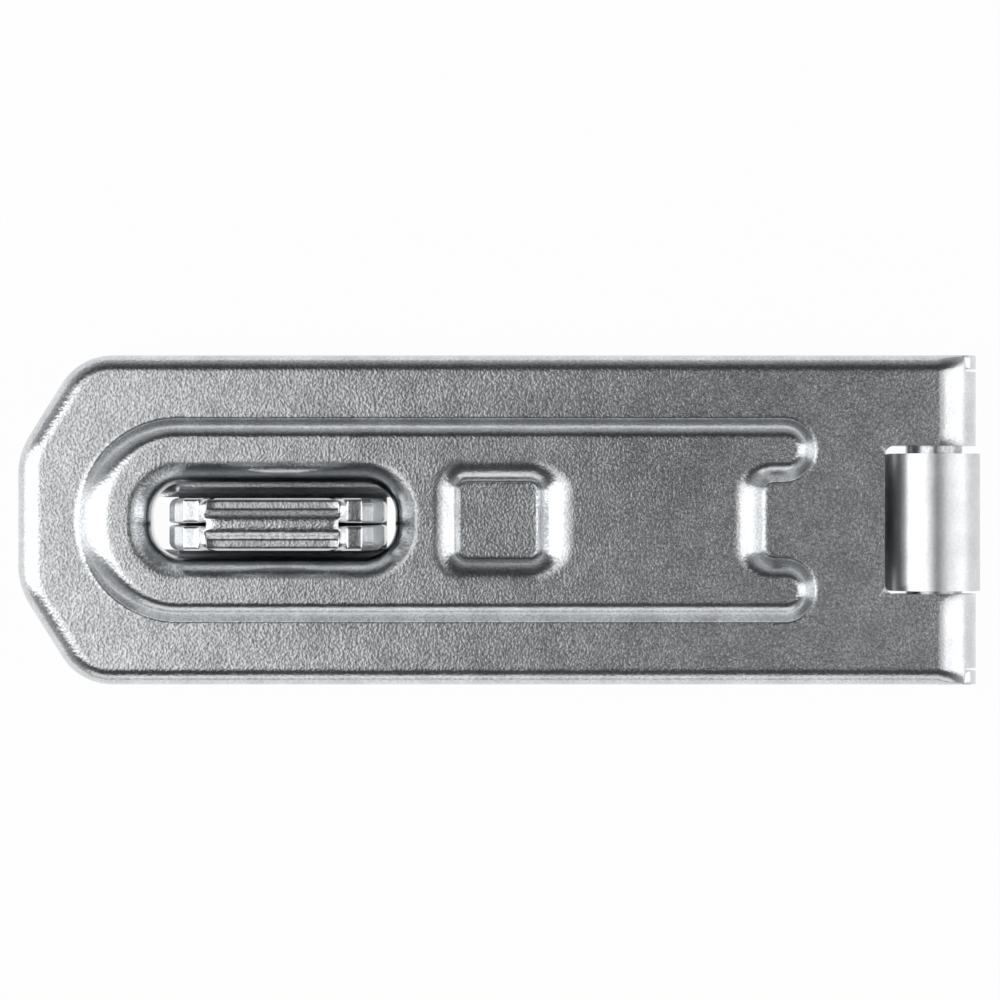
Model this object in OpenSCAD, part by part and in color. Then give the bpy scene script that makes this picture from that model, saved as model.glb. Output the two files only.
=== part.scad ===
// Hasp and staple of pressed sheet steel, closed over its staple.
// The mounting surface is the plane z = 0, the hinge is at +X and the nose at -X.
// The origin is under the middle of the closed set. All sizes are in millimetres.

/* [Overall] */
// Length from the tip of the nose to the back of the hinge knuckle
overall_length = 80; // [72:1:110]
// Width of the strap across its two rims
strap_width = 27.3; // [26:0.1:33]

/* [Strap sheet] */
// Thickness of the strap sheet
strap_t = 1.1; // [0.8:0.1:1.3]
// Outside radius where the top turns down into the rim
rim_bend_r = 1.7; // [1.5:0.1:2.4]
// Width of the straight end of the nose, before its corners are rounded
nose_tip_width = 11; // [8:0.2:13]
// Angle between the straight end of the nose and its cut-off corners, in degrees
nose_angle = 32; // [20:1:45]
// Radius of the corners between the straight end and the cut-offs
nose_tip_r = 6; // [3:0.5:8]
// Radius of the corners between the cut-offs and the sides
nose_side_r = 5; // [3:0.5:7]

/* [Raised panel] */
// Height of the raised panel over the strap
panel_rise = 1.5; // [1:0.1:1.8]
// Inside radius at the foot of the panel's wall
panel_foot_r = 0.5; // [0.2:0.1:0.8]
// Outside radius at the crest of the panel's wall
panel_crest_r = 1.4; // [1.3:0.1:1.8]
// Flat strap left beside the panel on each side, the bend included
panel_side_margin = 5.15; // [4.6:0.05:6.5]
// Distance from the nose tip to the panel
panel_nose_margin = 4.9; // [4.2:0.1:6]
// Distance from the hinge axis to the tips of the panel's two horns
horn_tip_to_hinge = 10; // [8:0.5:14]
// Length of the gap between the two horns
horn_gap_length = 4.2; // [3.6:0.2:6]
// Radius of the inner corners between the two horns
horn_gap_r = 0.8; // [0.4:0.1:1.4]

/* [Square recess] */
// Width of the square recess and of the gap between the horns
recess_width = 6.2; // [5:0.2:7]
// Length of the square recess
recess_length = 6.5; // [5:0.1:8]
// Radius of the recess's corners, in plan
recess_corner_r = 0.8; // [0.4:0.1:1.4]
// Outside radius of the recess's rounded upper edge
recess_lip_r = 1.8; // [1.4:0.1:2.2]
// Distance from the slot's rolled lip to the recess
recess_to_slot = 2.6; // [2.2:0.1:5]

/* [Slot] */
// Gap between the staple and the slot on each long side
slot_side_gap = 1; // [0.8:0.05:1.5]
// Gap between the staple and the hinge end of the slot
slot_hinge_gap = 1.6; // [0.6:0.1:2]
// Length of slot beyond the reach of the staple's far corners as the strap swings
swing_clear = 1; // [1:0.05:1.8]
// Radius of the slot's corners
slot_corner_r = 1.8; // [1.6:0.1:2.4]
// Outside radius of the lip that is rolled down around the slot
lip_r = 1.9; // [1.6:0.1:2.3]
// Depth of the rolled collar under the top of the strap
collar_drop = 2.4; // [2:0.1:3]

/* [Hinge] */
// Diameter of the hinge pin
pin_d = 4.7; // [3.8:0.1:5.6]
// Radial clearance of the pin in the strap's knuckles
pin_grip_clear = 0.03; // [0.02:0.01:0.05]
// Radial clearance of the pin in the leaf's knuckle
pin_run_clear = 0.08; // [0.06:0.01:0.1]
// Play between each end of the pin and the rim that hides it
pin_end_play = 0.15; // [0.1:0.05:0.4]
// Length of the leaf's knuckle, along the pin
leaf_knuckle_length = 11.4; // [9:0.2:14]
// Total sideways play of the leaf's knuckle between the strap's knuckles
knuckle_play = 0.9; // [0.6:0.1:1.4]
// How far the leaf sits to one side within that play
leaf_shift = 0.2; // [0:0.05:0.2]
// Width of the slit between each strap knuckle and the rim
knuckle_slit = 0.25; // [0.2:0.05:0.5]
// Gap that the end of each rolled knuckle leaves open
curl_gap = 0.25; // [0.15:0.05:0.5]
// Distance from the hinge axis to the edge of the strap between its knuckles
notch_depth = 4.35; // [4.2:0.05:6]
// Radius of the inner corners of that edge
notch_r = 0.8; // [0.4:0.1:1.4]

/* [Hinge leaf] */
// Thickness of the leaf sheet
leaf_t = 1.4; // [1.3:0.05:1.8]
// Clearance between the leaf and the strap's rims, at each side
leaf_side_clear = 1.3; // [0.8:0.1:2]
// Radius of the leaf's free corners
leaf_corner_r = 2.5; // [1:0.5:4]
// Distance from the hinge axis to the leaf's shoulders
leaf_shoulder = 5; // [4.5:0.1:6.5]
// Gap between the leaf and the flanges of the staple
door_gap = 3.6; // [2:0.2:6]

/* [Staple] */
// Thickness of the staple sheet, which is folded double
staple_t = 2.05; // [1.7:0.05:2.5]
// Width of the staple's doubled wall, along the strap
staple_width = 17.4; // [16:0.1:20]
// Seam left between the two folded walls
staple_seam = 0.12; // [0.08:0.02:0.2]
// Distance from the nose tip to the middle of the staple
staple_to_nose = 21.85; // [20.5:0.05:25]
// How far the staple sits to one side in the slot
staple_shift = 0.3; // [0:0.05:0.3]
// Radius of the upright corners of the doubled wall
staple_corner_r = 0.7; // [0.3:0.1:0.9]
// Diameter of the eye that takes the padlock shackle
eye_d = 9.5; // [7:0.5:10.5]
// Gap between the raised panel and the bottom of the eye
eye_over_panel = 0.5; // [0.3:0.1:2]
// Metal over the top of the eye
eye_bridge = 2.8; // [2.6:0.1:4]
// Length of the fold that joins the two walls over the eye
fold_length = 10.7; // [8:0.1:12]
// Inside radius of the bends between the walls and the flanges
staple_bend_r = 1; // [0.5:0.1:1.5]
// Length of each flange, along the strap
flange_length = 30; // [27:0.5:31]
// Distance from the strap's rim to the outer edge of a centred flange
flange_side_clear = 1.25; // [0.9:0.05:2]
// Radius of the flanges' outer corners
flange_corner_r = 2.2; // [1:0.2:4]
// Relief between the bends and the ends of the flanges
flange_relief = 0.3; // [0.2:0.1:0.6]

/* [Screw holes] */
// Diameter of the screw holes
screw_d = 4.4; // [3.4:0.1:4.8]
// Diameter of the countersinks
countersink_d = 7; // [6:0.1:7.4]
// Share of the sheet's thickness left as straight hole under a countersink
land_share = 0.45; // [0.35:0.05:0.7]
// Spacing of the leaf's screw holes, along the strap
leaf_hole_pitch_x = 17; // [12:0.5:20]
// Spacing of the leaf's screw holes, across the strap
leaf_hole_pitch_y = 13; // [10:0.5:14.5]
// Spacing of the staple's screw holes, along the strap
staple_hole_pitch_x = 21; // [19:0.5:22]
// Spacing of the staple's screw holes, across the strap
staple_hole_pitch_y = 14; // [13.6:0.1:14.6]

/* [Hidden] */
$fn = 64;
corner_step = 18; // largest angle between facets of the strap's outlines
bend_steps = 4; // facets of each bend in the strap
far = 60; // longer than any gap or sheet it cuts
root_angle = 2; // how far a rolled knuckle runs on into the flat sheet that it grows from
tiny = 0.001; // shortest edge of an outline that is drawn

// Hinge: the leaf's knuckle rests on the mounting surface, and the strap's meets the strap's top.
pin_r = pin_d / 2;
pin_chamfer = pin_r / 6;
strap_bore_r = pin_r + pin_grip_clear;
strap_knuckle_r = strap_bore_r + strap_t;
leaf_bore_r = pin_r + pin_run_clear;
leaf_knuckle_r = leaf_bore_r + leaf_t;
hinge_x = overall_length / 2 - leaf_knuckle_r;
hinge_z = leaf_knuckle_r;

// Strap sheet
half_width = strap_width / 2;
strap_top = hinge_z + strap_knuckle_r;
rim_z = hinge_z - strap_knuckle_r;
rim_inner_y = half_width - strap_t;
nose_x = -overall_length / 2;
nose_cut = (half_width - nose_tip_width / 2) * tan(nose_angle);
knuckle_inner_y = (leaf_knuckle_length + knuckle_play) / 2;
knuckle_outer_y = rim_inner_y - knuckle_slit;
pin_length = 2 * (rim_inner_y - pin_end_play);
strap_curl = 90 - asin((strap_bore_r - curl_gap) / strap_knuckle_r);
leaf_curl = 90 - asin((leaf_bore_r - curl_gap) / leaf_knuckle_r);

// Raised panel and its recess: each wall is two arcs that meet, and is as wide as they need.
panel_top = strap_top + panel_rise;
panel_half = half_width - panel_side_margin;
panel_left = nose_x + panel_nose_margin;
horn_tip_x = hinge_x - horn_tip_to_hinge;
horn_gap_x = horn_tip_x - horn_gap_length;
horn_r = (panel_half - recess_width / 2) / 2;
recess_foot_r = 0.2;

// Staple
wall_half = staple_t + staple_seam / 2;
eye_r = eye_d / 2;
eye_z = panel_top + eye_over_panel + eye_r;
staple_top = eye_z + eye_r + eye_bridge;
staple_x = nose_x + staple_to_nose;
staple_y = -staple_shift;
half_staple = staple_width / 2;
bend_y = wall_half + staple_bend_r;
bend_z = staple_t + staple_bend_r;
flange_inner_y = wall_half + 0.08;
flange_outer_y = rim_inner_y - flange_side_clear;
// Outline of the wall's upper corner, each point as [half width, depth under the top]
shoulder = [
    [fold_length / 2, 0],
    [fold_length / 2 + 0.3, 0.45],
    [half_staple - 1.5, 1.15],
    [half_staple - 0.8, 2.9],
    [half_staple, 7.5],
];

// Slot: it clears the staple's far corners as the strap swings about the hinge
staple_arm = hinge_x - staple_x;
corner_reach = [for (p = shoulder) norm([staple_arm + p[0], staple_top - p[1] - hinge_z])];
slot_nose_x = hinge_x - max(corner_reach) - swing_clear;
slot_hinge_x = staple_x + half_staple + slot_hinge_gap;
slot_half = wall_half + slot_side_gap;
collar_z = strap_top - collar_drop;
recess_x = slot_hinge_x + lip_r + recess_to_slot + recess_length / 2;

// Leaf
leaf_half = rim_inner_y - leaf_side_clear;
leaf_start_x = hinge_x - leaf_shoulder;
leaf_end_x = staple_x + flange_length / 2 + door_gap;
leaf_holes_x = (leaf_start_x + leaf_end_x) / 2;

// Outlines, each corner as [x, y, radius], going round with the metal they enclose on the left
strap_outline = [
    [hinge_x + far, -half_width, nose_side_r],
    [hinge_x + far, half_width, nose_side_r],
    [nose_x + nose_cut, half_width, nose_side_r],
    [nose_x, nose_tip_width / 2, nose_tip_r],
    [nose_x, -nose_tip_width / 2, nose_tip_r],
    [nose_x + nose_cut, -half_width, nose_side_r],
];
panel_outline = [
    [horn_tip_x, panel_half, horn_r],
    [panel_left, panel_half, panel_half],
    [panel_left, -panel_half, panel_half],
    [horn_tip_x, -panel_half, horn_r],
    [horn_tip_x, -recess_width / 2, horn_r],
    [horn_gap_x, -recess_width / 2, horn_gap_r],
    [horn_gap_x, recess_width / 2, horn_gap_r],
    [horn_tip_x, recess_width / 2, horn_r],
];
slot_outline = box_outline(slot_nose_x, slot_hinge_x, slot_half, slot_corner_r);
recess_outline = box_outline(
    recess_x - recess_length / 2, recess_x + recess_length / 2, recess_width / 2, recess_corner_r
);

strap_run = stations(strap_outline);
panel_run = stations(panel_outline);
slot_run = stations(slot_outline);
recess_run = stations(recess_outline);

function box_outline(x0, x1, half, r) = [[x1, half, r], [x0, half, r], [x0, -half, r], [x1, -half, r]];
function spot(c) = [c[0], c[1]];
function ray(angle, length) = length * [cos(angle), sin(angle)];
// Corner i of a list that goes round
function corner(list, i) = list[(i + len(list)) % len(list)];
function heading(a, b) = atan2(b[1] - a[1], b[0] - a[0]);
function heading_in(list, i) = heading(corner(list, i - 1), corner(list, i));
function heading_out(list, i) = heading(corner(list, i), corner(list, i + 1));
function half_turn(a) = a > 180 ? a - 360 : a < -180 ? a + 360 : a;
function turn(list, i) = half_turn(heading_out(list, i) - heading_in(list, i));
function setback(list, i) = corner(list, i)[2] * abs(tan(turn(list, i) / 2));
function side(list, i) = turn(list, i) > 0 ? 1 : -1;
// Centre of the arc that rounds corner i
function arc_centre(list, i) =
    spot(corner(list, i)) - ray(heading_in(list, i), setback(list, i))
    + ray(heading_in(list, i) + 90 * side(list, i), corner(list, i)[2]);
// The two ends of that arc on an outline drawn in by inset
function arc_ends(list, i, inset) =
    let (s = side(list, i), r = corner(list, i)[2] - s * inset)
    [for (h = [heading_in(list, i), heading_out(list, i)]) arc_centre(list, i) + ray(h - 90 * s, r)];
// Width in plan of a wall of two arcs that rises by panel_rise
function step_width(low_r, high_r) = sqrt(pow(low_r + high_r, 2) - pow(low_r + high_r - panel_rise, 2));

// Flat shape inside a closed outline, drawn in by inset
module plan(list, inset) {
    last = len(list) - 1;
    difference() {
        union() {
            polygon([for (i = [0:last]) each arc_ends(list, i, inset)]);
            for (i = [0:last]) if (side(list, i) > 0 && corner(list, i)[2] - inset > tiny)
                translate(arc_centre(list, i)) circle(corner(list, i)[2] - inset);
        }
        for (i = [0:last]) if (side(list, i) < 0)
            translate(arc_centre(list, i)) circle(corner(list, i)[2] + inset);
    }
}

// Points along an outline, each as [x, y, angle of the way out], without repeats
function stations(list) = distinct([
    for (i = [0:len(list) - 1]) let (n = ceil(abs(turn(list, i)) / corner_step)) for (k = [0:n])
        let (a = heading_in(list, i) + turn(list, i) * k / n - 90)
        concat(arc_centre(list, i) + ray(a, side(list, i) * corner(list, i)[2]), [a])
]);
function distinct(list) = [
    for (i = [0:len(list) - 1]) if (norm(spot(list[i]) - spot(corner(list, i - 1))) > tiny) list[i]
];
// Arc about a centre, from the angle a to the angle b
function arc(x, z, r, a, b) = [for (k = [0:bend_steps]) [x, z] + ray(a + (b - a) * k / bend_steps, r)];
function without_first(list) = [for (i = [1:len(list) - 1]) list[i]];
// Lines that a solid's side follows, each point as [distance out from its outline, height]
// The strap's rim and bend, on a face drawn in by inset
function rim_line(inset, base_z) = concat(
    [[-inset, base_z]], arc(-rim_bend_r, strap_top - rim_bend_r, rim_bend_r - inset, 0, 90)
);
// The rolled lip and the collar under it, on a face moved into the metal by inset
function lip_line(inset, end_z) = concat(
    [[inset, end_z]], arc(lip_r, panel_top - lip_r, lip_r - inset, 180, 90)
);
// A wall of two arcs that rises by panel_rise, on a face moved into the metal by inset
function step_line(foot_r, crest_r, inset) =
    let (w = step_width(foot_r, crest_r), lean = atan2(w, foot_r + crest_r - panel_rise))
    concat(
        arc(0, strap_top + foot_r, foot_r + inset, -90, lean - 90),
        without_first(arc(w, panel_top - crest_r, crest_r - inset, 90 + lean, 90))
    );
function mirrored(list) = [for (p = list) [-p[0], p[1]]];
// A line run straight down or up from one of its ends
function from_below(list, z) = concat([[list[0][0], z]], list);
function to_above(list, z) = concat(list, [[list[len(list) - 1][0], z]]);

// Solid whose side follows a line, from the bottom up, all the way round an outline
module loft(run, line) {
    n = len(run);
    points = [for (p = line, s = run) concat(spot(s) + ray(s[2], p[0]), [p[1]])];
    sides = [for (j = [0:n:(len(line) - 2) * n], i = [0:n - 1])
        let (k = (i + 1) % n) [j + i, j + n + i, j + n + k, j + k]];
    bottom = [for (i = [0:n - 1]) i];
    top = [for (i = [n - 1:-1:0]) (len(line) - 1) * n + i];
    polyhedron(points, concat(sides, [bottom, top]));
}

// Strap and raised panel as a shell, before its openings
module strap_shell() {
    crest = mirrored(step_line(panel_foot_r, panel_crest_r, 0));
    under = mirrored(step_line(panel_foot_r, panel_crest_r, strap_t));
    difference() {
        union() {
            loft(strap_run, rim_line(0, rim_z));
            loft(panel_run, from_below(crest, strap_top - strap_t / 2));
        }
        loft(strap_run, rim_line(strap_t, -far));
        loft(panel_run, from_below(under, -far));
    }
}

// Pressed sheet: the shell with its collar, its square recess and its openings, as one skin
module strap_sheet() {
    inside = panel_top - strap_t / 2;
    minkowski() difference() {
        union() {
            strap_shell();
            loft(slot_run, to_above(lip_line(strap_t, collar_z), inside));
            loft(recess_run, to_above(step_line(recess_foot_r, recess_lip_r, strap_t), inside));
        }
        loft(slot_run, to_above(lip_line(0, -far), far));
        loft(recess_run, to_above(step_line(recess_foot_r, recess_lip_r, 0), far));
        linear_extrude(far) hinge_notch();
        translate([hinge_x - strap_t / 2, -far, -far]) cube([2 * far, 2 * far, 2 * far]);
    }
}

// Opening for the leaf's knuckle, with round inner corners
module hinge_notch() {
    plan(box_outline(hinge_x - notch_depth, hinge_x + notch_depth, knuckle_inner_y, notch_r), 0);
}

// Quarter of a bend about the origin, from the top towards +X
module quarter_bend(outer_r, t) {
    intersection() {
        difference() {
            circle(outer_r);
            circle(outer_r - t);
        }
        square(outer_r);
    }
}

// Drawing in X and Z, carried along Y through length about the middle
module across(length) {
    rotate([90, 0, 0]) linear_extrude(length, center = true) children();
}

// Drawing in Y and Z, carried along X from x0 to x1
module along(x0, x1) {
    translate([x0, 0, 0]) rotate([90, 0, 90]) linear_extrude(x1 - x0) children();
}

// Sheet rolled about the hinge axis, drawn in X and Z from an angle and on through sweep
module rolled(inner_r, t, start, sweep) {
    outer_r = inner_r + t;
    difference() {
        circle(outer_r);
        circle(inner_r);
        rotate(start + sweep) curl_opening(360 - sweep);
    }
}

// Wedge that a rolled sheet leaves open
module curl_opening(angle) {
    polygon([[0, 0], ray(0, far), ray(angle / 2, far), ray(angle, far)]);
}

// Moves a drawing in X and Z to the hinge axis and carries it from y0 to y1
module at_hinge(y0, y1) {
    translate([hinge_x, y1, hinge_z]) rotate([90, 0, 0]) linear_extrude(y1 - y0) children();
}

// One rolled knuckle of the strap, with the flat root that it grows from
module strap_knuckle() {
    at_hinge(knuckle_inner_y, knuckle_outer_y)
        rolled(strap_bore_r, strap_t, 90 + strap_curl, 360 - strap_curl + root_angle);
    at_hinge(knuckle_inner_y, knuckle_outer_y)
        translate([-strap_t, strap_bore_r]) square([strap_t, strap_t]);
}

// Rounded end of the rim, which covers the end of the pin
module pin_cover() {
    bend_start = strap_top - rim_bend_r;
    intersection() {
        translate([hinge_x, 0, hinge_z]) rotate([-90, 0, 0]) cylinder(r = strap_knuckle_r, h = far);
        along(hinge_x - strap_t, hinge_x + far) {
            translate([rim_inner_y, rim_z]) square([strap_t, bend_start - rim_z]);
            intersection() {
                translate([half_width - rim_bend_r, bend_start]) circle(rim_bend_r);
                translate([rim_inner_y, bend_start]) square([strap_t, rim_bend_r]);
            }
        }
    }
}

// The same shape on both sides of the middle plane
module both_sides() {
    children();
    mirror([0, 1, 0]) children();
}

// Screw hole through a sheet that lies on z = 0, with its countersink
module screw_hole(t) {
    land = t * land_share;
    cylinder(d = screw_d, h = 2 * far, center = true);
    translate([0, 0, land]) cylinder(d1 = screw_d, d2 = countersink_d, h = t - land);
    translate([0, 0, t]) cylinder(d = countersink_d, h = t);
}

// Four screw holes on a rectangle about the middle
module four_holes(pitch_x, pitch_y, t) {
    for (x = [-pitch_x / 2, pitch_x / 2], y = [-pitch_y / 2, pitch_y / 2])
        translate([x, y, 0]) screw_hole(t);
}

// Pressed strap that swings over the staple and hides every screw
module hasp_strap() {
    color("silver") union() {
        strap_sheet();
        both_sides() strap_knuckle();
        both_sides() pin_cover();
    }
}

// Leaf screwed to the door, hidden under the closed strap
module hinge_leaf() {
    half_knuckle = leaf_knuckle_length / 2;
    neck_length = leaf_shoulder + leaf_corner_r;
    color("lightgray") translate([0, -leaf_shift, 0]) union() {
        difference() {
            linear_extrude(leaf_t)
                plan(box_outline(leaf_end_x, leaf_start_x, leaf_half, leaf_corner_r), 0);
            translate([leaf_holes_x, 0, 0]) four_holes(leaf_hole_pitch_x, leaf_hole_pitch_y, leaf_t);
        }
        at_hinge(-half_knuckle, half_knuckle)
            rolled(leaf_bore_r, leaf_t, -90 - root_angle, 360 - leaf_curl + root_angle);
        at_hinge(-half_knuckle, half_knuckle)
            translate([-neck_length, -leaf_knuckle_r]) square([neck_length, leaf_t]);
    }
}

// Pin that turns in the leaf's knuckle and is held in the strap's
module hinge_pin() {
    body = pin_length - 2 * pin_chamfer;
    tip_r = pin_r - pin_chamfer;
    color("gray") translate([hinge_x, 0, hinge_z]) rotate([-90, 0, 0]) union() {
        cylinder(r = pin_r, h = body, center = true);
        translate([0, 0, body / 2]) cylinder(r1 = pin_r, r2 = tip_r, h = pin_chamfer);
        translate([0, 0, -pin_length / 2]) cylinder(r1 = tip_r, r2 = pin_r, h = pin_chamfer);
    }
}

// Doubled wall of the staple, with its round fold on top and its cut shoulders
module staple_wall() {
    fold_z = staple_top - wall_half;
    last = len(shoulder) - 1;
    difference() {
        intersection() {
            along(-far, far) {
                translate([-wall_half, bend_z]) square([2 * wall_half, fold_z - bend_z]);
                translate([0, fold_z]) circle(wall_half);
            }
            linear_extrude(far)
                plan(box_outline(-half_staple, half_staple, wall_half, staple_corner_r), 0);
            across(far) polygon(concat(
                [for (p = shoulder) [p[0], staple_top - p[1]]],
                [[half_staple, bend_z], [-half_staple, bend_z]],
                [for (i = [last:-1:0]) [-shoulder[i][0], staple_top - shoulder[i][1]]]
            ));
        }
        along(-far, far) translate([-staple_seam / 2, 0]) square([staple_seam, fold_z]);
        for (x0 = [-far, fold_length / 2]) along(x0, x0 + far - fold_length / 2)
            translate([-staple_seam / 2, 0]) square([staple_seam, 2 * staple_top]);
        translate([0, 0, eye_z]) across(far) circle(eye_r);
    }
}

// Flange at +Y, and the bend that joins it to the wall
module staple_flange() {
    half_flange = flange_length / 2;
    tab = half_flange - half_staple - flange_relief;
    along(-half_staple, half_staple) translate([bend_y, bend_z]) rotate(180)
        quarter_bend(staple_bend_r + staple_t, staple_t);
    linear_extrude(staple_t) {
        plan([
            [half_flange, bend_y, 0],
            [half_flange, flange_outer_y, flange_corner_r],
            [-half_flange, flange_outer_y, flange_corner_r],
            [-half_flange, bend_y, 0],
        ], 0);
        for (x = [-half_flange, half_flange - tab])
            translate([x, flange_inner_y]) square([tab, bend_y - flange_inner_y]);
    }
}

// Staple of one sheet folded double, with a flange to each side
module staple() {
    color("gainsboro") translate([staple_x, staple_y, 0]) union() {
        staple_wall();
        difference() {
            both_sides() staple_flange();
            four_holes(staple_hole_pitch_x, staple_hole_pitch_y, staple_t);
        }
    }
}

hasp_strap();
hinge_leaf();
hinge_pin();
staple();
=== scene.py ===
import bpy
import bmesh
import numpy as np
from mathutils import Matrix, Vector
from mathutils.geometry import delaunay_2d_cdt


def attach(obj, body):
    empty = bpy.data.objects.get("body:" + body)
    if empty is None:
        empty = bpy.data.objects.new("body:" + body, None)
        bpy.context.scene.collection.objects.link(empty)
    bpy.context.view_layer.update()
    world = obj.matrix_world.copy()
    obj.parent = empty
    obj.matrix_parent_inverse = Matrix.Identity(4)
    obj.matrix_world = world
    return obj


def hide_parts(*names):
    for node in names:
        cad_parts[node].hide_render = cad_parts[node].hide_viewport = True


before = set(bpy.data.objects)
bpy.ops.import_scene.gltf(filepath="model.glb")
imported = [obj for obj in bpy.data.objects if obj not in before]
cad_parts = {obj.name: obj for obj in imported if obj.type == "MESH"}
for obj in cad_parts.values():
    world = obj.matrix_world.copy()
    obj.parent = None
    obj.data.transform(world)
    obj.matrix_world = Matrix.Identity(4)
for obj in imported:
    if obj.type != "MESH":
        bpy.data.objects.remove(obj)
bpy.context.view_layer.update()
MM = 0.001

# ---- sizes of the part, in millimetres ----
LENGTH, WIDTH, SHEET = 80.0, 27.3, 1.1
LEAF_SHEET = 1.4
PIN_R = 2.35
STRAP_PLAY, LEAF_PLAY = 0.03, 0.08  # between the pin and the knuckles rolled round it
KNUCKLE_R = PIN_R + STRAP_PLAY + SHEET
HINGE_Z = PIN_R + LEAF_PLAY + LEAF_SHEET
HINGE_X = LENGTH / 2 - HINGE_Z
TOP = HINGE_Z + KNUCKLE_R  # outer face of the strap's rim
RISE = 1.5  # of the panel above the rim
PANEL_TOP = TOP + RISE
RIM_Z = HINGE_Z - KNUCKLE_R
HALF = WIDTH / 2
NOSE_X = -LENGTH / 2
NOTCH_X, NOTCH_Y, NOTCH_R = HINGE_X - 4.35, 6.15, 0.8
KNUCKLE_Y = HALF - SHEET - 0.25
COLLAR_Z = TOP - 2.4
RIM_BEND = 1.45  # outer radius of the bend from the rim's flat into its wall
FLAT_EDGE = 2.4  # from the rim's wall to the edge of its flat
APRON = 0.25  # strip of flat that goes with each pressed wall
SAME = 1e-4  # points nearer than this are one


def spread(cuts, ends=0):
    """For each item i, cuts[i] + ends numbers rising from 0 in steps of 1 / cuts[i], and the item each belongs to."""
    count = cuts + ends
    item = np.repeat(np.arange(len(cuts)), count)
    return item, (np.arange(len(item)) - np.repeat(np.cumsum(count) - count, count)) / cuts[item]


def outline(corners, step=4.0):
    """Points round a closed outline with rounded corners: each is (x, y, normal x, normal y), metal on the left.

    Each corner (x, y, r) is replaced by the arc of radius r tangent to both its edges, cut into equal angles."""
    c = np.array(corners, float)
    xy, r = c[:, :2], c[:, 2]
    u, v = xy - np.roll(xy, 1, axis=0), np.roll(xy, -1, axis=0) - xy
    a, b = np.arctan2(u[:, 1], u[:, 0]), np.arctan2(v[:, 1], v[:, 0])
    turn = (b - a + np.pi) % (2 * np.pi) - np.pi
    back = (r * abs(np.tan(turn / 2)))[:, None]
    reach = (np.sign(turn) * r)[:, None]
    centre = xy - u / np.linalg.norm(u, axis=1, keepdims=True) * back + reach * np.c_[-np.sin(a), np.cos(a)]
    cuts = np.maximum(2, np.ceil(np.degrees(abs(turn)) / step)).astype(int)
    i, t = spread(cuts, 1)
    heading = a[i] + turn[i] * t - np.pi / 2
    way = np.c_[np.cos(heading), np.sin(heading)]
    p = centre[i] + reach[i] * way
    gap = np.linalg.norm(np.roll(p, -1, axis=0) - p, axis=1)
    kept = np.r_[True, gap[:-1] > SAME]
    kept[-1] &= gap[-1] > SAME
    return np.c_[p, way][kept]


def finer(run, longest=1.5):
    """The same closed outline with its long straight edges cut into equal lengths."""
    edge = np.roll(run, -1, axis=0) - run
    i, t = spread(np.maximum(1, np.ceil(np.linalg.norm(edge[:, :2], axis=1) / longest)).astype(int))
    out = run[i] + edge[i] * t[:, None]
    out[:, 2:] /= np.linalg.norm(out[:, 2:], axis=1, keepdims=True)
    return out


def ring(run, offset):
    """An outline moved out along its normals by offset, which is one number or one for each point."""
    return run[:, :2] + run[:, 2:] * np.asarray(offset).reshape(-1, 1)


def inside(points, loop):
    """Whether each point is inside a closed loop: then an odd number of its edges is crossed going right."""
    (x0, y0), (x1, y1) = loop.T, np.roll(loop, -1, axis=0).T
    x, y = points[:, :1], points[:, 1:]
    with np.errstate(divide="ignore", invalid="ignore"):
        at = x0 + (y - y0) * (x1 - x0) / (y1 - y0)
    return np.count_nonzero(((y0 > y) != (y1 > y)) & (at > x), axis=1) % 2 == 1


def edge_distance(points, loop):
    """Distance from each point to the nearest edge of a closed loop, and to the nearest of its corners."""
    d = np.roll(loop, -1, axis=0) - loop
    off = points[:, None] - loop
    t = np.clip((off * d).sum(2) / (d * d).sum(1), 0, 1)
    return (np.linalg.norm(loop + d * t[..., None] - points[:, None], axis=2).min(1),
            np.linalg.norm(off, axis=2).min(1))


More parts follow.
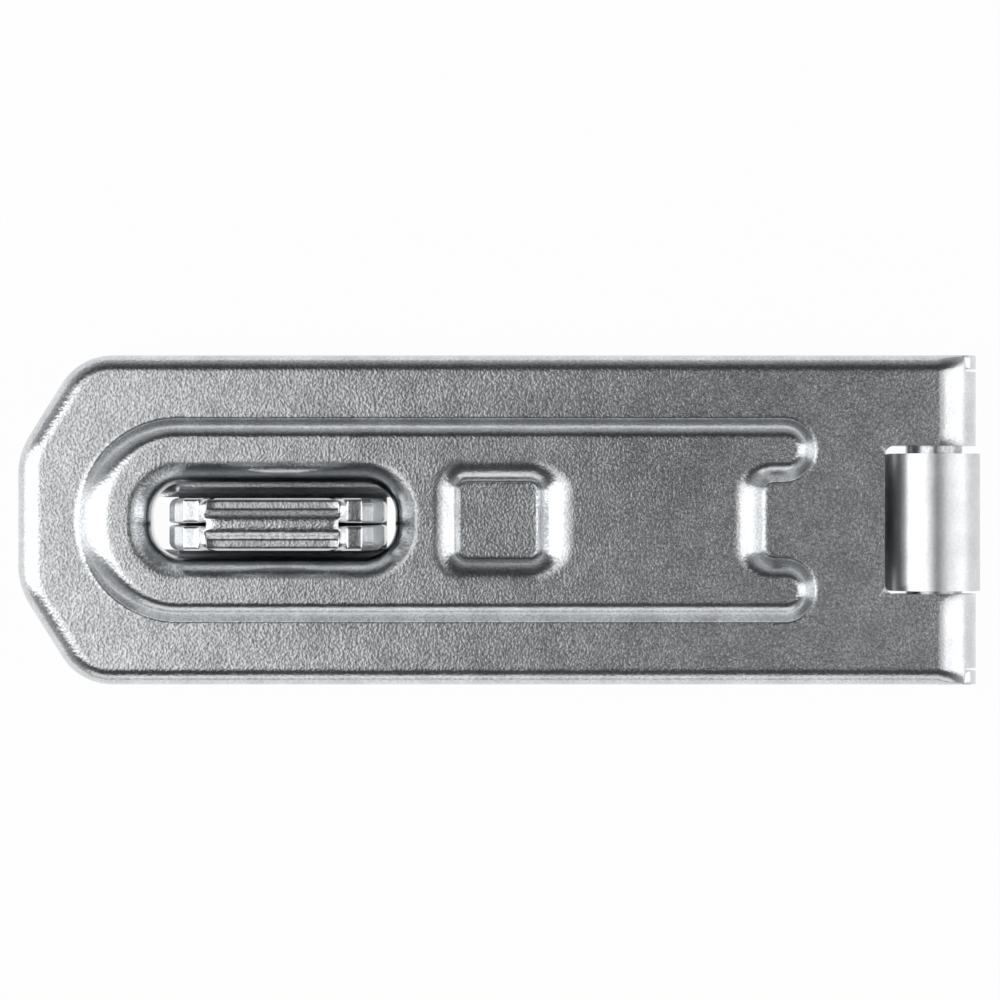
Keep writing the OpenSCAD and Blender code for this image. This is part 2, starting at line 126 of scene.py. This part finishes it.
class Skin:
    """Collects surfaces in millimetres, and joins the vertices that coincide. A face is four indices, or three and
    the last of them again."""

    def __init__(self):
        self.verts, self.formed, self.faces = np.empty((0, 3)), np.empty(0), np.empty((0, 4), int)

    def add(self, points, faces, formed=0.0):
        """Adds faces over points. formed is how far forming has smoothed the grain there, from 0 to 1."""
        self.faces = np.concatenate([self.faces, np.asarray(faces) + len(self.verts)])
        self.verts = np.concatenate([self.verts, points])
        self.formed = np.r_[self.formed, np.broadcast_to(formed, len(points))]

    def grid(self, rows, closed=False, up=None, formed=0.0):
        """Quads over a grid of points rows[i, j], closed along i if asked, turned so that the first faces up."""
        m, n = rows.shape[:2]
        i, j = np.meshgrid(np.arange(m if closed else m - 1), np.arange(n - 1), indexing="ij")
        i, j = i.ravel(), j.ravel()
        k = (i + 1) % m
        faces = np.c_[i * n + j, k * n + j, k * n + j + 1, i * n + j + 1]
        points = rows.reshape(-1, 3)
        if up is not None:
            first = points[faces[0]]
            if np.dot(np.cross(first, np.roll(first, -1, axis=0)).sum(0), up) < 0:
                faces = faces[:, ::-1]
        self.add(points, faces, np.broadcast_to(formed, (m, n)).ravel())

    def flat(self, loops, z, spacing=1.6):
        """Triangles over the region inside the first loop and outside the others, at height z.

        Points of a square lattice are added inside, clear of every loop, so that no triangle is a long sliver."""
        def within(points):
            return inside(points, loops[0]) & ~np.any([inside(points, h) for h in loops[1:]] or [False], axis=0)

        lo, hi = loops[0].min(0), loops[0].max(0)
        lattice = np.stack(np.meshgrid(np.arange(lo[0], hi[0], spacing), np.arange(lo[1], hi[1], spacing)), -1)
        lattice = lattice.reshape(-1, 2)
        to_edge, to_corner = np.min([edge_distance(lattice, h) for h in loops], axis=0)
        lattice = lattice[within(lattice) & (to_corner > spacing * 0.45) & (to_edge > spacing * 0.4)]
        start = np.cumsum([0] + [len(h) for h in loops])
        edges = [(int(b + i), int(b + (i + 1) % len(h))) for b, h in zip(start, loops) for i in range(len(h))]
        v, _, f, *_ = delaunay_2d_cdt([Vector(p) for p in np.concatenate([*loops, lattice])], edges, [], 0, 1e-5)
        v, f = np.array([tuple(p) for p in v]), np.array(f)
        f = f[within(v[f].mean(1))]
        (ax, ay), (bx, by) = (v[f[:, 1]] - v[f[:, 0]]).T, (v[f[:, 2]] - v[f[:, 0]]).T
        f = np.where((ax * by - ay * bx > 0)[:, None], f, f[:, ::-1])
        self.add(np.c_[v, np.full(len(v), z)], np.c_[f, f[:, 2]])

    def mesh(self, name, joined=2e-4):
        """A Blender mesh in metres, with vertices in the same cell of the size joined made one."""
        key = np.round(self.verts / joined).astype(np.int64)
        _, first, back = np.unique(key, axis=0, return_index=True, return_inverse=True)
        faces = back.reshape(-1)[self.faces]
        kept = faces != np.roll(faces, -1, axis=1)
        faces = [f[k].tolist() for f, k in zip(faces, kept) if k.sum() > 2]
        me = bpy.data.meshes.new(name)
        me.from_pydata((self.verts[first] * MM).tolist(), [], faces)
        me.attributes.new("formed", "FLOAT", "POINT").data.foreach_set("value", self.formed[first])
        me.validate()
        me.shade_smooth()
        return me


# ---- sections: points (offset from an outline, z), in rows that may differ from one of its points to the next ----
def spots(offset, z):
    """Points of a section, from offsets and heights that fit each other."""
    return np.stack(np.broadcast_arrays(offset, z), axis=-1)


def arc(x, z, rx, rz, a, b, n):
    """Points of an ellipse about (x, z) from the angle a to b, in degrees."""
    t = np.radians(np.linspace(a, b, n + 1))
    return spots(x + rx * np.cos(t), z + rz * np.sin(t))


def end_to_end(run, *pieces):
    """The pieces of a section joined end to end, at every point of an outline."""
    return np.concatenate([np.broadcast_to(p, (len(run), *np.shape(p)[-2:])) for p in pieces], axis=1)


def carried(run, section):
    """Grid of points: the section at each point of an outline, moved out along the normal by its offset."""
    sec = end_to_end(run, section)
    return np.stack([run[:, :1] + run[:, 2:3] * sec[..., 0], run[:, 1:2] + run[:, 3:] * sec[..., 0], sec[..., 1]], -1)


def ramp(n, foot, crest):
    """An S-shaped rise from 0 to 1: its slope grows from nothing over foot, holds, and fades out over crest."""
    fine = np.linspace(0, 1, 2001)
    slope = np.clip(fine / foot, 0, 1) * np.clip((1 - fine) / crest, 0, 1)
    slope = slope * slope * (3 - 2 * slope) * 0.5 + slope * 0.5
    rise = np.r_[0, np.cumsum((slope[1:] + slope[:-1]) / 2)]
    u = np.linspace(0, 1, n + 1)
    return u, np.interp(u, fine, rise / rise[-1])


def towards(run, sign):
    """How far each normal of an outline points to the hinge (sign 1) or to the nose (sign -1), from 0 to 1."""
    return np.maximum(0.0, sign * run[:, 2:3])


# ---- outlines in plan, metal on the left ----
TIP, CHAMFER = 5.5, np.radians(32)  # the nose's cut corners
CUT = (HALF - TIP) * np.tan(CHAMFER)
BEYOND = HINGE_X + 60  # the nose's outline is closed out here, and cut off at the hinge
nose_run = outline([
    (BEYOND, -HALF, 5), (BEYOND, HALF, 5),
    (NOSE_X + CUT, HALF, 5), (NOSE_X, TIP, 6), (NOSE_X, -TIP, 6), (NOSE_X + CUT, -HALF, 5),
])
nose_run = nose_run[nose_run[:, 0] < HINGE_X]
side_x = np.arange(HINGE_X, nose_run[0][0] + 0.5, -1.5)[:, None]
strap_run = np.concatenate([side_x * [1, 0, 0, 0] + [0, HALF, 0, 1], nose_run,
                            side_x[::-1] * [1, 0, 0, 0] + [0, -HALF, 0, -1]])

PANEL_HALF = HALF - 5.15
PANEL_LEFT = NOSE_X + 4.9
PANEL_R = PANEL_HALF - 0.001
HORN_X = HINGE_X - 10
GAP_X, GAP_Y = HORN_X - 4.2, 3.1  # the gap between the horns
HORN_R = (PANEL_HALF - GAP_Y) / 2 - 0.001
panel_run = finer(outline([
    (HORN_X, PANEL_HALF, HORN_R), (PANEL_LEFT, PANEL_HALF, PANEL_R),
    (PANEL_LEFT, -PANEL_HALF, PANEL_R), (HORN_X, -PANEL_HALF, HORN_R),
    (HORN_X, -GAP_Y, HORN_R), (GAP_X, -GAP_Y, 0.8), (GAP_X, GAP_Y, 0.8), (HORN_X, GAP_Y, HORN_R),
]))


def box_run(x0, x1, half, r):
    """Outline of a rectangle with rounded corners, centred on the middle plane."""
    return finer(outline([(x1, half, r), (x0, half, r), (x0, -half, r), (x1, -half, r)]))


SLOT_X0, SLOT_X1, SLOT_HALF, SLOT_R = -28.80, -8.65, 3.11, 2.6
slot_run = box_run(SLOT_X0, SLOT_X1, SLOT_HALF, SLOT_R)
RECESS_X0, RECESS_LENGTH, RECESS_HALF = SLOT_X1 + 5.3, 6.5, 3.1
recess_run = box_run(RECESS_X0, RECESS_X0 + RECESS_LENGTH, RECESS_HALF, 0.7)


# ---- the strap's pressed sheet, as its outer face ----
def rim_section(run):
    """Flat, then a quarter circle down into the rim, then the rim's wall. The bend is wider at the nose."""
    r = RIM_BEND + 0.5 * towards(run, -1) ** 2
    wall = end_to_end(run, spots(0.0, np.hstack([(TOP - r + HINGE_Z) / 2, HINGE_Z + 0 * r])),
                      spots(0.0, [(HINGE_Z + RIM_Z) / 2, RIM_Z]))
    return end_to_end(run, spots([-FLAT_EDGE], TOP), spots(-r - 0.12, TOP), arc(-r, TOP - r, r, r, 90, 0, 14), wall)


def panel_width(run):
    """Width in plan of the panel's wall: wider round the nose end and in the gap between the horns."""
    x, y = run[:, :1], run[:, 1:2]
    in_gap = (abs(y) < GAP_Y + 0.9) & (x < GAP_X + 1.2) & (x > 0)
    return 1.85 + 1.1 * towards(run, -1) ** 1.5 * (x < -20) + 0.95 * towards(run, 1) ** 2 * in_gap


def panel_section(run):
    """Flat, the S-shaped rise from the foot to the crest, then flat."""
    w = panel_width(run)
    along, up = ramp(18, 0.1, 0.8)
    return end_to_end(run, spots([APRON], TOP), spots(-w * along, TOP + RISE * up), spots(-w - APRON, PANEL_TOP))


LIP, LIP_DEPTH = 1.95, 1.9
lip_section = np.concatenate([
    [[LIP + APRON, PANEL_TOP]], arc(LIP, PANEL_TOP - LIP_DEPTH, LIP, LIP_DEPTH, 90, 180, 14),
    [[0, PANEL_TOP - 2.6], [0, COLLAR_Z]],
])


def recess_width(run):
    """Width in plan of the recess's rounded lip: widest on the side towards the hinge."""
    return 2.05 + 0.9 * towards(run, 1) ** 4 + 0.1 * towards(run, -1)


def recess_section(run):
    """Flat floor, a steep foot, then a soft quarter ellipse up to the panel."""
    w = recess_width(run)
    foot = [[-APRON, TOP - 0.02], [-0.04, TOP - 0.01], [0.0, TOP + 0.05]]
    wall = arc(w, PANEL_TOP - RISE, w, RISE, 180, 90, 14)[:, 1:]
    return end_to_end(run, foot, wall, spots(w + APRON, PANEL_TOP))


UP = (0, 0, 1)
strap_skin = Skin()
strap_skin.grid(carried(strap_run, rim_section(strap_run)), up=UP,
                formed=np.r_[0, 0, np.linspace(0, 1, 15), np.ones(4)])
strap_skin.grid(carried(panel_run, panel_section(panel_run)), closed=True, up=UP,
                formed=np.r_[0, np.sin(np.linspace(0, np.pi, 19)) * 0.7, 0])
strap_skin.grid(carried(slot_run, lip_section), closed=True, up=UP, formed=np.r_[0, np.linspace(0.2, 1, 15), 1, 1])
strap_skin.grid(carried(recess_run, recess_section(recess_run)), closed=True, up=UP,
                formed=np.r_[0, 0, np.full(15, 0.6), 0])

# the flat between the rim's bend and the panel, with the notch for the leaf's knuckle
hinge_y = np.linspace(NOTCH_Y, HALF - FLAT_EDGE, 5)
hinge_edge = np.c_[np.full(5, HINGE_X), hinge_y]
turned = np.radians(np.linspace(0, 90, 7))
notch_corner = [NOTCH_X + NOTCH_R, NOTCH_Y - NOTCH_R] + NOTCH_R * np.c_[-np.sin(turned), np.cos(turned)]
flat_edge = np.concatenate([
    hinge_edge[::-1] * [1, -1], notch_corner * [1, -1], notch_corner[::-1], hinge_edge,
])
strap_skin.flat([np.concatenate([ring(strap_run, -FLAT_EDGE)[:-1], flat_edge[:-1]]), ring(panel_run, APRON)], TOP)
strap_skin.flat([
    ring(panel_run, -panel_width(panel_run) - APRON), ring(slot_run, LIP + APRON),
    ring(recess_run, recess_width(recess_run) + APRON),
], PANEL_TOP)
strap_skin.flat([ring(recess_run, -APRON)], TOP - 0.02)


# ---- the strap's knuckles, rolled about the pin ----
JOINED = 46.0  # angle down to which the rim's rounded end is still one with the knuckle
CURL = 307.0  # angle through which the sheet is rolled
WORN = 0.28  # bend left at the edge of the rim's end once it runs free
FADE = 14.0  # angle over which that bend runs out


def cover_fade(a):
    """Where the bend starts, and how deep it is, at the angle a: it fades as the rim's end wraps round the pin."""
    t = (90 - a) / (90 - JOINED)
    start = HALF - RIM_BEND
    return start + (KNUCKLE_Y - start) * t, RIM_BEND + (WORN - RIM_BEND) * t ** 0.7


def about_pin(a, y, r):
    """Points at the distances y along the pin and r from its axis, at the angle a round it, in degrees."""
    a, y, r = np.broadcast_arrays(np.radians(a), y, r)
    return np.stack([HINGE_X + r * np.cos(a), y, HINGE_Z + r * np.sin(a)], axis=-1)


def knuckle(sign):
    """The sheet rolled about the pin: it leaves the flat at the top and comes round to just under it.

    Down to JOINED its outer end is one with the rim, which covers the pin's end. From there it runs free."""
    bend = np.radians(np.linspace(0, 90, 15))
    a = np.linspace(90, JOINED, 13)[:, None]
    start, deep = cover_fade(a)
    edge_r = KNUCKLE_R - deep
    y = np.hstack([hinge_y + 0 * a, np.minimum(HALF - 1.57, start - 0.02), start + (HALF - start) * np.sin(bend),
                   np.full((13, 2), HALF)])
    r = np.hstack([np.full((13, 6), KNUCKLE_R), edge_r + deep * np.cos(bend), edge_r / 2, 0 * edge_r])
    strap_skin.grid(about_pin(a, sign * y, r), up=UP, formed=1.0)
    free_y = sign * np.r_[hinge_y, y[-1, 5], KNUCKLE_Y]
    a = np.linspace(JOINED, 90 - CURL, 66)[:, None]
    strap_skin.grid(about_pin(a, free_y, KNUCKLE_R), up=(1, 0, 1), formed=1.0)
    a = np.linspace(JOINED, -90, 40)[:, None]
    edge_r = KNUCKLE_R - WORN * np.clip((a - JOINED + FADE) / FADE, 0, 1)
    strap_skin.grid(about_pin(a, sign * HALF, edge_r * [1, 0.5, 0]), up=(0, sign, 0), formed=1.0)


knuckle(1)
knuckle(-1)


# ---- the staple's doubled wall, drawn in its own plane: (x, z), and the distance from its middle ----
STAPLE_X, STAPLE_Y, STAPLE_TOP = -18.15, -0.3, 21.61
WALL_X, WALL_HALF = 8.7, 2.11  # half of its length, and of its thickness
EYE_Z, EYE_R, EYE_EDGE = 14.06, 4.75, 0.3
CUT_Z = 3.3  # below this the wall is the CAD's own
wall_right = [
    (WALL_X, CUT_Z, 0.001), (WALL_X, 14.11, 2.0), (7.95, 18.6, 0.9), (7.15, STAPLE_TOP - 0.88, 0.22),
    (5.95, STAPLE_TOP - 0.78, 0.25), (5.45, STAPLE_TOP, 0.35),
]
wall_run = finer(outline(wall_right + [(-x, z, r) for x, z, r in wall_right[::-1]], 10.0), 0.45)
eye_turn = np.radians(np.arange(0, 360, 5))
eye_way = np.c_[np.cos(eye_turn), np.sin(eye_turn)]
eye_run = np.c_[[0, EYE_Z] + EYE_R * eye_way, eye_way]
# the fold's section across its top: distance from the middle, and drop from the top
fold_section = spots(
    -np.array([0, 0.01, 0.04, 0.08, 0.15, 0.22, 0.31, 0.40, 0.48, 0.53, 0.55, 0.56, 0.57, 0.59, 0.63, 0.74, 0.95, 1.2]),
    np.array([0, 0.2, 0.4, 0.55, 0.7, 0.8, 0.9, 1.0, 1.1, 1.2, 1.32, 1.5, 1.7, 1.85, 1.97, 2.06, 2.11, 2.11]))
groove_section = np.array([(-1.6, 0), (-1.0, 0.05), (-0.35, 0.07), (-0.15, 0.1), (-0.05, 0.16), (0, 0.28)])


def wall_section(run):
    """From the middle of the doubled wall out to its face: a round crest and a strip on the fold, and a slit beyond it.

    The slit is a groove between the two rounded sheets. The two sections are mixed over the last of the fold."""
    x, z, up = run[:, 0], run[:, 1], run[:, 3]
    r = np.where(up > 0.7, 0.3, 0.7)
    land = spots(0.0, np.linspace(0.5, WALL_HALF - r, 5, axis=-1))
    r, t = r[:, None], np.radians([18, 36, 54, 72, 90])
    rounded = spots(-r + r * np.cos(t), WALL_HALF - r + r * np.sin(t))
    sheet = end_to_end(run, groove_section, land, rounded, [(-0.9, WALL_HALF), (-1.2, WALL_HALF)])
    low = up < -0.7  # the lower edge is left square, where the wall below takes over
    sheet[low, :16, 0] = 0
    sheet[low, 11:16, 1] = np.linspace(1.9, WALL_HALF, 5)
    t = np.clip((5.95 - abs(x)) / 0.85, 0, 1) * (z > STAPLE_TOP - 2)
    t = (t * t * (3 - 2 * t))[:, None, None]
    return fold_section * t + sheet * (1 - t)


rounding = np.radians([22, 45, 67, 90])
eye_section = np.concatenate([
    [[0.5, 0], [0.1, 0.05], [0, 0.2], [0, 1.0], [0, WALL_HALF - EYE_EDGE]],
    spots(EYE_EDGE - EYE_EDGE * np.cos(rounding), WALL_HALF - EYE_EDGE + EYE_EDGE * np.sin(rounding)),
    [[0.55, WALL_HALF]],
])
half_wall = Skin()
half_wall.grid(carried(wall_run, wall_section(wall_run)), closed=True)
half_wall.grid(carried(eye_run, eye_section)[::-1], closed=True)
half_wall.flat([ring(wall_run, -1.2), ring(eye_run, 0.55)], WALL_HALF, 1.0)
wall_skin = Skin()
for side in (1, -1):
    wall_x, wall_z, out = half_wall.verts.T
    wall_skin.add(np.c_[STAPLE_X + wall_x, STAPLE_Y + side * out, wall_z], half_wall.faces[:, ::-side])


def staple_mesh():
    """The CAD staple's flanges and lower wall, up to CUT_Z, with the finer wall above."""
    bm = bmesh.new()
    bm.from_mesh(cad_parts["staple"].data)
    bmesh.ops.remove_doubles(bm, verts=bm.verts, dist=1e-6)
    everything = bm.verts[:] + bm.edges[:] + bm.faces[:]
    bmesh.ops.bisect_plane(bm, geom=everything, plane_co=(0, 0, CUT_Z * MM), plane_no=(0, 0, 1), clear_outer=True)
    upper = wall_skin.mesh("wall")
    bm.from_mesh(upper)
    near_cut = [f for f in bm.faces if all(abs(v.co.z / MM - CUT_Z) < 0.02 for v in f.verts)]
    bmesh.ops.delete(bm, geom=near_cut, context="FACES")
    me = bpy.data.meshes.new("folded_staple")
    bm.to_mesh(me)
    bm.free()
    bpy.data.meshes.remove(upper)
    co = np.empty(len(me.vertices) * 3)
    me.vertices.foreach_get("co", co)
    co = co.reshape(-1, 3) / MM
    x, y, z = abs(co[:, 0] - STAPLE_X), abs(co[:, 1] - STAPLE_Y), co[:, 2]
    relief = (z < 3.1) & (abs(x - 9.0) < 0.02) & (y < 3.2)  # the slit beside each flange's bend is closed
    co[relief, 0] = STAPLE_X + np.sign(co[relief, 0] - STAPLE_X) * WALL_X
    me.vertices.foreach_set("co", (co * MM).ravel())
    x = abs(co[:, 0] - STAPLE_X)
    crest = np.clip((1.25 - y) / 0.2, 0, 1) * np.clip((5.7 - x) / 0.4, 0, 1) * (z > STAPLE_TOP - 0.7)
    if "formed" in me.attributes:
        me.attributes.remove(me.attributes["formed"])
    me.attributes.new("formed", "FLOAT", "POINT").data.foreach_set("value", 0.8 * (1 - crest))
    me.shade_smooth()
    me.set_sharp_from_angle(angle=0.7)
    return me


# ---- materials ----
def srgb(text):
    """A colour written as a hex sRGB value, as the linear colour that Blender uses."""
    c = np.array([int(text[i:i + 2], 16) / 255 for i in (0, 2, 4)])
    c = np.where(c <= 0.04045, c / 12.92, ((c + 0.055) / 1.055) ** 2.4)
    return (*c, 1.0)


def node(tree, kind, inputs=(), **settings):
    """Adds a shader node, sets its properties and its inputs, each a value or another node's output."""
    n = tree.nodes.new(kind)
    for k, v in settings.items():
        setattr(n, k, v)
    for k, v in dict(inputs).items():
        if isinstance(v, bpy.types.NodeSocket):
            tree.links.new(v, n.inputs[k])
        else:
            n.inputs[k].default_value = v
    return n


def empty_material(name):
    """A new material and its node tree, with no nodes in it."""
    m = bpy.data.materials.new(name)
    m.use_nodes = True
    m.node_tree.nodes.clear()
    return m, m.node_tree


def metal(name, colour, rough, grain, depth, fleck=0.3, mottle=0.15):
    """Metal with a fine grain under a slow mottling.

    The grain's bumps and flecks are grain millimetres apart and depth micrometres deep. The mottling is 12 times as
    wide, and the roughness drifts over 22 mm. The attribute formed takes the grain away, down to a third."""
    m, t = empty_material(name)
    at = node(t, "ShaderNodeTexCoord").outputs["Object"]
    fine = node(t, "ShaderNodeTexNoise", {"Vector": at, "Scale": 1000 / grain, "Detail": 2.0, "Roughness": 0.6})
    wide = node(t, "ShaderNodeTexNoise", {"Vector": at, "Scale": 1000 / (grain * 12), "Detail": 4.0,
                                          "Roughness": 0.6})
    slow = node(t, "ShaderNodeTexNoise", {"Vector": at, "Scale": 1000 / 22.0, "Detail": 2.0, "Roughness": 0.5})
    formed = node(t, "ShaderNodeAttribute", attribute_name="formed").outputs["Fac"]
    kept = node(t, "ShaderNodeMapRange", {"Value": formed, "To Min": 1.0, "To Max": 0.35}).outputs["Result"]
    low = node(t, "ShaderNodeMath", {0: kept, 1: -fleck, 2: 1.0}, operation="MULTIPLY_ADD").outputs[0]
    flecks = node(t, "ShaderNodeMapRange", {"Value": fine.outputs["Fac"], "From Min": 0.32, "From Max": 0.62,
                                            "To Min": low, "To Max": 1.0})
    tone = node(t, "ShaderNodeMapRange", {"Value": wide.outputs["Fac"], "From Min": 0.35, "From Max": 0.65,
                                          "To Min": 1 - mottle, "To Max": 1.0})
    both = node(t, "ShaderNodeMath", {0: flecks.outputs["Result"], 1: tone.outputs["Result"]},
                operation="MULTIPLY")
    base = node(t, "ShaderNodeMix", {0: 1.0, 6: srgb(colour), 7: both.outputs[0]}, data_type="RGBA",
                blend_type="MULTIPLY")
    shine = node(t, "ShaderNodeMapRange", {"Value": slow.outputs["Fac"], "From Min": 0.3, "From Max": 0.7,
                                           "To Min": rough * 0.88, "To Max": rough * 1.14})
    dents = node(t, "ShaderNodeBump", {"Height": wide.outputs["Fac"], "Strength": 0.35, "Distance": depth * 3e-6})
    bumps = node(t, "ShaderNodeBump", {"Height": fine.outputs["Fac"], "Strength": kept, "Distance": depth * 1e-6,
                                       "Normal": dents.outputs["Normal"]})
    bsdf = node(t, "ShaderNodeBsdfPrincipled", {"Base Color": base.outputs[2], "Metallic": 1.0,
                                                "Roughness": shine.outputs["Result"],
                                                "Normal": bumps.outputs["Normal"]})
    node(t, "ShaderNodeOutputMaterial", {"Surface": bsdf.outputs["BSDF"]})
    return m


# bright zinc plate over pressed steel: cool grey, with fairly sharp reflections broken up by the grain of rolled
# sheet, which is drawn 0.22 mm wide, coarser than it is, so that it shows
zinc = metal("zinc_plate", "E2E4E6", 0.20, 0.22, 24.0, 0.35, 0.18)
# the same plate where rolling has smoothed the sheet: softer reflections and hardly any grain
zinc_smooth = metal("zinc_plate_formed", "DCDDDE", 0.30, 0.3, 8.0, 0.1, 0.12)
# drawn steel rod: a plain, slightly darker gloss
steel = metal("drawn_steel", "C4C6C8", 0.24, 0.4, 5.0)


# ---- pieces ----
def add_piece(name, mesh, body, cad_node):
    """A zinc plated piece made of the mesh, riding on its body in the place of the CAD node."""
    o = bpy.data.objects.new(name, mesh)
    mesh.materials.clear()
    mesh.materials.append(zinc)
    bpy.context.scene.collection.objects.link(o)
    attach(o, body)
    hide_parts(cad_node)
    return o


strap = add_piece("pressed_strap", strap_skin.mesh("pressed_strap"), "strap", "hasp_strap")
thick = strap.modifiers.new("sheet", "SOLIDIFY")
thick.thickness, thick.offset, thick.use_even_offset = SHEET * MM, -1, True
broken = strap.modifiers.new("edges", "BEVEL")
broken.width, broken.segments, broken.limit_method, broken.angle_limit = 0.12 * MM, 2, "ANGLE", 0.9
broken.use_clamp_overlap = True
strap.modifiers.new("normals", "WEIGHTED_NORMAL").keep_sharp = True

add_piece("folded_staple", staple_mesh(), "frame_side", "staple")

for name, material in (("hinge_leaf", zinc_smooth), ("hinge_pin", steel)):
    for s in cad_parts[name].material_slots:
        s.material = material

# ---- floor, light and camera, in metres ----
FLOOR_HALF = 1.6
floor_me = bpy.data.meshes.new("floor")
floor_me.from_pydata(
    [(FLOOR_HALF * x, FLOOR_HALF * y, 0) for x, y in ((-1, -1), (1, -1), (1, 1), (-1, 1))], [], [(0, 1, 2, 3)])
floor = bpy.data.objects.new("floor", floor_me)
bpy.context.scene.collection.objects.link(floor)
floor.location.z = -0.0002
# matt white paper, which the camera and the metal's reflections see as almost plain white, with a faint shadow
paper, tree = empty_material("white_paper")
matt = node(tree, "ShaderNodeBsdfDiffuse", {"Color": srgb("F4F4F4")})
glow = node(tree, "ShaderNodeEmission", {"Color": (1, 1, 1, 1), "Strength": 1.0})
path = node(tree, "ShaderNodeLightPath")
seen = node(tree, "ShaderNodeMath", {0: path.outputs["Is Camera Ray"], 1: path.outputs["Is Glossy Ray"]},
            operation="MAXIMUM")
share = node(tree, "ShaderNodeMath", {0: seen.outputs[0], 1: 0.97}, operation="MULTIPLY")
mix = node(tree, "ShaderNodeMixShader", {0: share.outputs[0], 1: matt.outputs[0], 2: glow.outputs[0]})
node(tree, "ShaderNodeOutputMaterial", {"Surface": mix.outputs[0]})
floor_me.materials.append(paper)

world = bpy.data.worlds.new("studio")
bpy.context.scene.world = world
world.use_nodes = True
tree = world.node_tree
up = node(tree, "ShaderNodeSeparateXYZ", {"Vector": node(tree, "ShaderNodeTexCoord").outputs["Generated"]})
# pale towards the horizon and dark overhead, where the camera hangs
fade = node(tree, "ShaderNodeMapRange", {"Value": up.outputs["Z"], "From Min": 0.1, "From Max": 0.8},
            interpolation_type="SMOOTHSTEP")
sky = node(tree, "ShaderNodeMix", {0: fade.outputs["Result"], 6: srgb("B4B6B8"), 7: srgb("424344")},
           data_type="RGBA")
tree.links.new(sky.outputs[2], tree.nodes["Background"].inputs["Color"])


def softbox(name, place, size, power):
    """A rectangular area light at place, turned towards the origin."""
    light = bpy.data.lights.new(name, "AREA")
    light.shape, light.size, light.size_y, light.energy = "RECTANGLE", size[0], size[1], power
    o = bpy.data.objects.new(name, light)
    bpy.context.scene.collection.objects.link(o)
    o.location = place
    o.rotation_mode = "QUATERNION"
    o.rotation_quaternion = (Vector((0, 0, 0)) - Vector(place)).to_track_quat("-Z", "Y")


softbox("left_box", (-0.50, 0.0, 0.64), (0.56, 1.1), 2.3)
softbox("left_low", (-0.75, 0.0, 0.28), (0.48, 2.0), 3.4)
softbox("right_box", (0.58, 0.0, 0.57), (0.38, 1.1), 1.0)
softbox("right_low", (0.75, 0.0, 0.28), (0.48, 1.5), 1.8)
softbox("near_fill", (0.0, -0.70, 0.30), (0.9, 0.34), 0.7)

CAMERA_Z = 0.4
VIEW_WIDTH = 0.08264  # what the picture spans at the height of the strap's rim
SENSOR = 36
cam_data = bpy.data.cameras.new("camera")
cam = bpy.data.objects.new("camera", cam_data)
bpy.context.scene.collection.objects.link(cam)
cam.location = (0, 0.00165, CAMERA_Z)
cam_data.sensor_width = SENSOR
cam_data.lens = SENSOR * (CAMERA_Z - TOP * MM) / VIEW_WIDTH
cam_data.clip_start, cam_data.clip_end = 0.01, 10
cam_data.dof.use_dof = False
bpy.context.scene.camera = cam
bpy.context.scene.view_settings.view_transform = "Standard"
